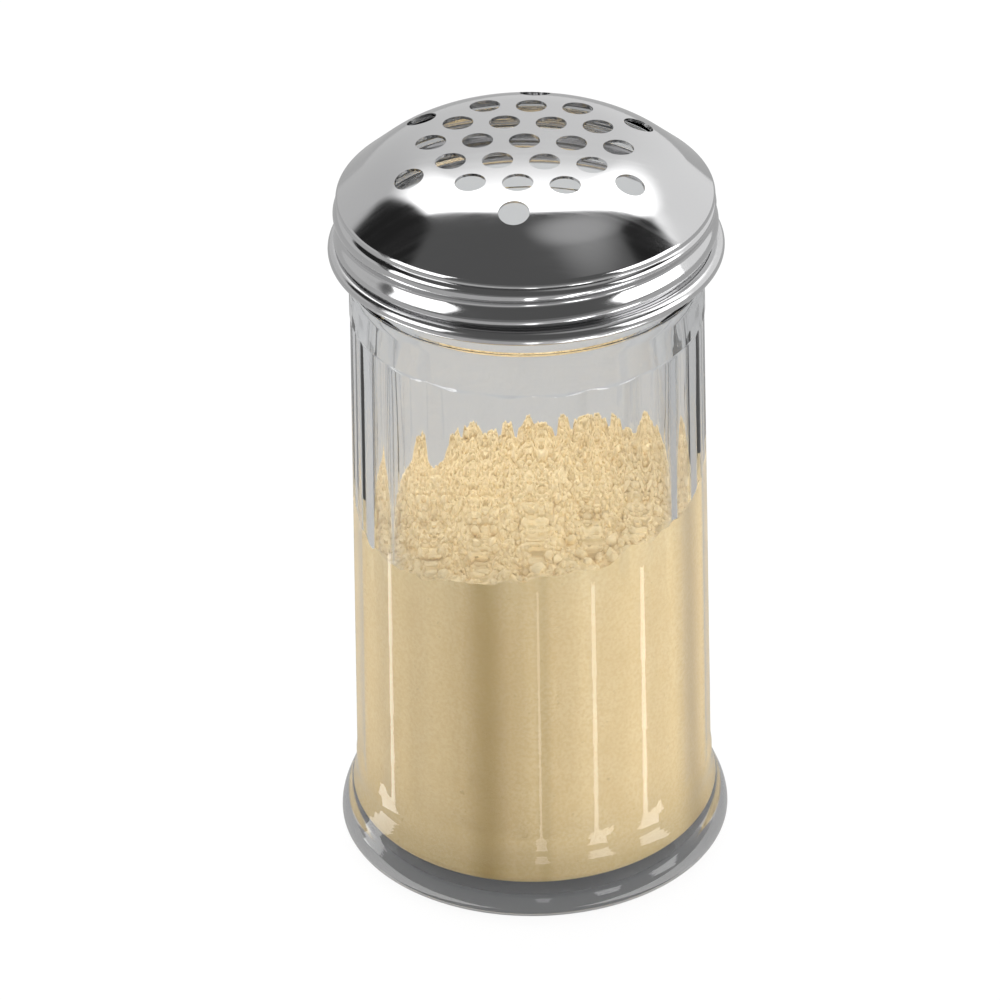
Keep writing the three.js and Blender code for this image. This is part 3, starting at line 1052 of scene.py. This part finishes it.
def light_lid(stage):
    """Stands a softbox on each side, for the lid only"""
    distance = 0.9
    height = 0.62
    raised = math.radians(18)
    aim = Vector((0, 0, stage.lamp_aim))
    steel = bpy.data.collections.new("steel")
    steel.objects.link(bpy.data.objects["lid_shell"])
    for name, azimuth, width, brightness in SOFTBOXES:
        around = math.radians(azimuth)
        away = Vector(
            (math.sin(around) * math.cos(raised), math.cos(around) * math.cos(raised),
             math.sin(raised))
        )
        facing = away.to_track_quat("Z", "Y").to_euler()
        lamp = area_lamp(name, aim + away * distance, facing, width, height, brightness)
        lamp.light_linking.receiver_collection = steel


# Lamps for the ridges: turn from the front and half angle in degrees, and brightness
RIDGE_LAMPS = (
    ("right_strip", 75.6, 11, 4.0),
    ("front_right_strip", 39.6, 9, 4.0),
    ("front_strip", 3.6, 5, 2.5),
    ("left_strip", -104.4, 11, 3.0),
)


def light_ridge(jar, name, azimuth, half_angle, brightness):
    """Lays strip lamps flat on the floor, each wider than the one nearer the jar. Only the
    ridge that faces them reflects them to the camera."""
    near, far, strips = 26 * MM, 118 * MM, 4
    above_floor = Vector((0, 0, 0.2 * MM))
    turned = math.radians(azimuth)
    facing = turned / 2
    ridge = Vector((math.sin(facing), -math.cos(facing), 0)) * jar.bottom_radius
    away = Vector((math.sin(turned), -math.cos(turned), 0))
    for i in range(strips):
        start = near * (far / near) ** (i / strips)
        end = near * (far / near) ** ((i + 1) / strips)
        width = (start + end) * math.tan(math.radians(half_angle))
        place = ridge + away * (start + end) / 2 + above_floor
        lamp = area_lamp(name, place, (math.pi, 0, turned), width, end - start, brightness)
        lamp.visible_camera = lamp.visible_diffuse = lamp.visible_transmission = False


class SHAKER_OT_stage(bpy.types.Operator):
    """Sets the floor, the light and the camera"""

    bl_idname = "shaker.stage"
    bl_label = "Stage"

    def execute(self, context):
        stage = context.scene.shaker_stage
        context.scene.view_settings.view_transform = "Standard"
        deselect()
        bpy.ops.mesh.primitive_plane_add(size=stage.floor_size, location=(0, 0, 0))
        floor = context.object
        floor.name = "studio_floor"
        floor.data.materials.append(floor_material(stage))
        studio_world(stage)
        light_lid(stage)
        for settings in RIDGE_LAMPS:
            light_ridge(context.scene.shaker_jar, *settings)
        self.place_camera(context, stage)
        return {"FINISHED"}

    def place_camera(self, context, stage):
        deselect()
        circle = Vector((0, -math.cos(stage.elevation), math.sin(stage.elevation)))
        place = Vector((0, 0, stage.aim)) + circle * stage.distance
        bpy.ops.object.camera_add(location=place)
        camera = context.object
        camera.name = "photo_camera"
        camera.data.sensor_width = stage.sensor
        camera.data.sensor_fit = "HORIZONTAL"
        camera.data.lens = stage.focal
        camera.data.clip_start = 10 * MM
        down = stage.elevation + stage.pitch
        forward = Vector(
            (math.sin(stage.yaw) * math.cos(down), math.cos(stage.yaw) * math.cos(down),
             -math.sin(down))
        )
        right = forward.cross(Vector((0, 0, 1))).normalized()
        up = right.cross(forward)
        rolled_right = right * math.cos(stage.roll) - up * math.sin(stage.roll)
        rolled_up = right * math.sin(stage.roll) + up * math.cos(stage.roll)
        axes = Matrix((rolled_right, rolled_up, -forward)).transposed()
        camera.matrix_world = Matrix.Translation(place) @ axes.to_4x4()
        context.scene.camera = camera


class SHAKER_PT_panel(bpy.types.Panel):
    """Lists the shaker's pieces and its stage"""

    bl_idname = "SHAKER_PT_panel"
    bl_label = "Spice Shaker"
    bl_space_type = "VIEW_3D"
    bl_region_type = "UI"
    bl_category = "Shaker"

    def draw(self, context):
        for operator in OPERATORS:
            self.layout.operator(operator.bl_idname)
        for name in GROUPS:
            group = getattr(context.scene, name)
            box = self.layout.box()
            for key in group.__annotations__:
                box.prop(group, key)


OPERATORS = (SHAKER_OT_jar, SHAKER_OT_spice, SHAKER_OT_lid, SHAKER_OT_stage)
GROUPS = {
    "shaker_jar": JarSizes,
    "shaker_lid": LidSizes,
    "shaker_spice": SpiceSizes,
    "shaker_stage": StageSettings,
}


def register():
    for owner in (*GROUPS.values(), *OPERATORS, SHAKER_PT_panel):
        bpy.utils.register_class(owner)
    for name, group in GROUPS.items():
        setattr(bpy.types.Scene, name, PointerProperty(type=group))


def unregister():
    for name in GROUPS:
        delattr(bpy.types.Scene, name)
    for owner in reversed((*GROUPS.values(), *OPERATORS, SHAKER_PT_panel)):
        bpy.utils.unregister_class(owner)


def main():
    register()
    bpy.ops.shaker.jar()
    bpy.ops.shaker.spice()
    bpy.ops.shaker.lid()
    bpy.ops.shaker.stage()


if __name__ == "__main__":
    main()
